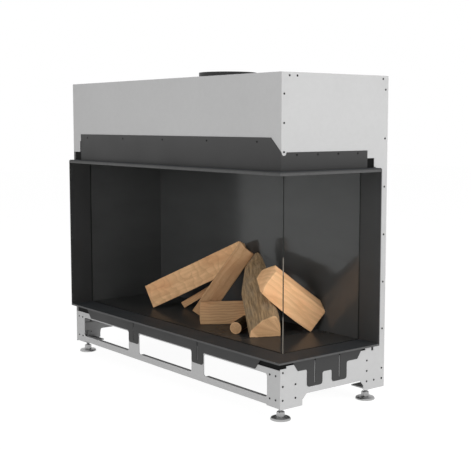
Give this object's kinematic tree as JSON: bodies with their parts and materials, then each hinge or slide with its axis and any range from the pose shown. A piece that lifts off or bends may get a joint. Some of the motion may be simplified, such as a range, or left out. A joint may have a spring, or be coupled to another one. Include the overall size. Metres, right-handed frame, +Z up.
{
  "type": "gas fireplace insert",
  "caption": "Corner gas fireplace insert: galvanised casing on levelling feet, black built-in frame, glazed front and right side, ceramic logs, concentric flue spigot.",
  "frame": {"origin": "on the floor under the middle of the outer box, with the feet as in the picture", "axes": "+X towards the glazed right side, +Y towards the back, +Z up"},
  "size_m": [1.2278, 0.4666, 1.051],
  "materials": {
    "galvanised_sheet": "bright galvanised sheet, satin",
    "black_frame": "fine-textured black paint",
    "black_firebox": "glossy black enamel",
    "fire_glass": "clear heat-resistant glass",
    "fibre_seal": "woven fibre strip",
    "black_screws": "blackened steel",
    "flue_black": "heat-resistant matt black",
    "stainless": "plain stainless sheet",
    "zinc_steel": "zinc-plated steel",
    "brass": "machined",
    "pipe_aluminium": "drawn tube",
    "valve_aluminium": "cast, satin",
    "white_ceramic": "matt ceramic",
    "knob_plastic": "moulded",
    "split_wood": "split wood grain, moulded and coloured",
    "bark_wood": "grey-brown bark, moulded and coloured"
  },
  "bodies": {
    "insert": {"right_side_panel": "galvanised_sheet", "left_side_panel": "galvanised_sheet", "hood_front_panel": "galvanised_sheet", "hood_top_panel": "galvanised_sheet", "rear_panel": "galvanised_sheet", "base_front_panel": "galvanised_sheet", "foot_brackets": "galvanised_sheet", "floor_rails": "galvanised_sheet", "combustion_air_duct": "galvanised_sheet", "front_bottom_trim": "black_frame", "side_bottom_trim": "black_frame", "left_end_trim": "black_frame", "rear_end_trim": "black_frame", "front_top_trim": "black_frame", "side_top_trim": "black_frame", "front_upstand": "black_frame", "side_upstand": "black_frame", "front_skirt": "black_frame", "side_skirt": "black_frame", "firebox_floor": "black_firebox", "firebox_back_wall": "black_firebox", "firebox_left_wall": "black_firebox", "firebox_header": "black_firebox", "firebox_top": "black_firebox", "lower_glass_channel": "black_firebox", "upper_glass_channel": "black_firebox", "front_glass": "fire_glass", "side_glass": "fire_glass", "glass_seals": "fibre_seal", "panel_screws": "black_screws", "flue_outer_spigot": "flue_black", "flue_inner_spigot": "stainless", "burner_tray": "stainless", "pilot_burner": "stainless", "thermocouple": "stainless", "hatch_hinge_pins": "stainless", "burner_injector": "brass", "gas_inlet_fitting": "brass", "burner_gas_pipe": "pipe_aluminium", "gas_valve": "valve_aluminium", "ignition_electrode": "white_ceramic", "back_log": "split_wood", "plank_log": "split_wood", "floor_log": "split_wood", "leaning_log": "split_wood", "splinter_log": "split_wood", "branch_log": "split_wood", "bark_log": "bark_wood"},
    "front_left_foot": {"front_left_foot_stud": "zinc_steel", "front_left_foot_pad": "zinc_steel"},
    "front_right_foot": {"front_right_foot_stud": "zinc_steel", "front_right_foot_pad": "zinc_steel"},
    "rear_left_foot": {"rear_left_foot_stud": "zinc_steel", "rear_left_foot_pad": "zinc_steel"},
    "rear_right_foot": {"rear_right_foot_stud": "zinc_steel", "rear_right_foot_pad": "zinc_steel"},
    "left_hatch": {"left_relief_hatch": "black_firebox"},
    "right_hatch": {"right_relief_hatch": "black_firebox"},
    "flame_knob": {"flame_control_knob": "knob_plastic"},
    "pilot_knob": {"pilot_control_knob": "knob_plastic"}
  },
  "joints": [
    {"name": "front_left_foot_screw", "type": "slide", "parent": "insert", "child": "front_left_foot", "axis": [0, 0, -1], "range_m": [0, 0.03]},
    {"name": "front_right_foot_screw", "type": "slide", "parent": "insert", "child": "front_right_foot", "axis": [0, 0, -1], "range_m": [0, 0.03]},
    {"name": "rear_left_foot_screw", "type": "slide", "parent": "insert", "child": "rear_left_foot", "axis": [0, 0, -1], "range_m": [0, 0.03]},
    {"name": "rear_right_foot_screw", "type": "slide", "parent": "insert", "child": "rear_right_foot", "axis": [0, 0, -1], "range_m": [0, 0.03]},
    {"name": "left_hatch_hinge", "type": "hinge", "parent": "insert", "child": "left_hatch", "pos_m": [-0.3576, 0.05325, 0.7943], "axis": [-1, 0, 0], "range_deg": [0, 40]},
    {"name": "right_hatch_hinge", "type": "hinge", "parent": "insert", "child": "right_hatch", "pos_m": [0.3324, 0.05325, 0.7943], "axis": [-1, 0, 0], "range_deg": [0, 40]},
    {"name": "flame_knob_turn", "type": "hinge", "parent": "insert", "child": "flame_knob", "pos_m": [-0.4346, 0.17125, 0.128], "axis": [0, -1, 0], "range_deg": [0, 180]},
    {"name": "pilot_knob_turn", "type": "hinge", "parent": "insert", "child": "pilot_knob", "pos_m": [-0.3906, 0.17125, 0.128], "axis": [0, -1, 0], "range_deg": [0, 90]}
  ]
}
